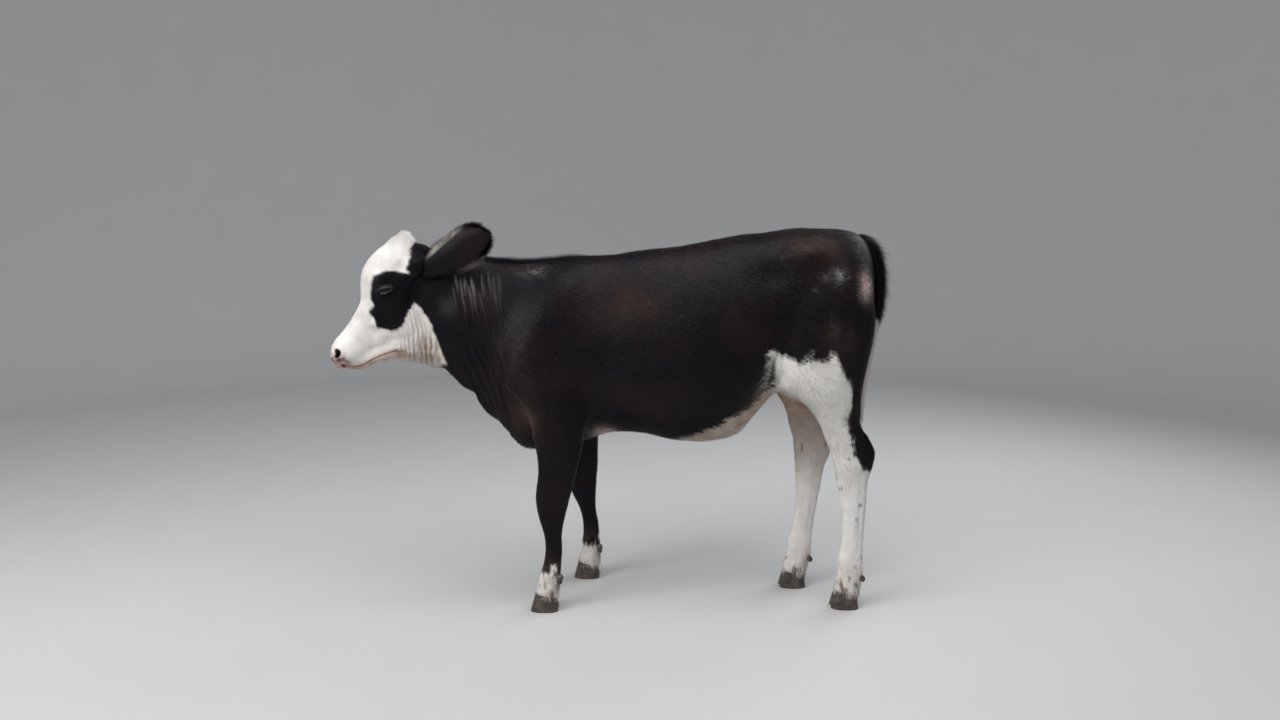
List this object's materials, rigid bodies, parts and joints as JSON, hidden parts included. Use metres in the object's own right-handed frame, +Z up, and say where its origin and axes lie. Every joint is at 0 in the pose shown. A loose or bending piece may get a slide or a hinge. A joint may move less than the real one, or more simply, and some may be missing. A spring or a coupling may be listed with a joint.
{
  "type": "cow",
  "caption": "Young hornless cow standing still, black coat with a white face, white hind legs and white socks, its head turned a little to its left.",
  "frame": {"origin": "on the floor, under the middle of the whole animal's box", "axes": "+Z up; the animal faces -X, so +X runs from its muzzle to its tail; its left side is towards -Y"},
  "size_m": [1.7383, 0.4319, 1.2047],
  "materials": {
    "black_coat": "short glossy black hair with a brown sheen",
    "white_coat": "short white hair, a little soiled",
    "horn": "dark dull horn, dusty",
    "eye": "wet dark brown"
  },
  "bodies": {
    "root": {"claw_front_left_inner": "horn", "claw_front_left_outer": "horn", "claw_front_right_inner": "horn", "claw_front_right_outer": "horn", "claw_hind_left_inner": "horn", "claw_hind_left_outer": "horn", "claw_hind_right_inner": "horn", "claw_hind_right_outer": "horn", "dewclaw_front_left_inner": "horn", "dewclaw_front_left_outer": "horn", "dewclaw_front_right_inner": "horn", "dewclaw_front_right_outer": "horn", "dewclaw_hind_left_inner": "horn", "dewclaw_hind_left_outer": "horn", "dewclaw_hind_right_inner": "horn", "dewclaw_hind_right_outer": "horn", "ear_left": "black_coat", "ear_right": "black_coat", "eye_left": "eye", "eye_right": "eye", "head": "white_coat", "leg_front_left": "black_coat", "leg_front_right": "black_coat", "leg_hind_left": "white_coat", "leg_hind_right": "white_coat", "neck": "black_coat", "tail": "black_coat", "tail_switch": "white_coat", "trunk": "black_coat"}
  },
  "joints": []
}
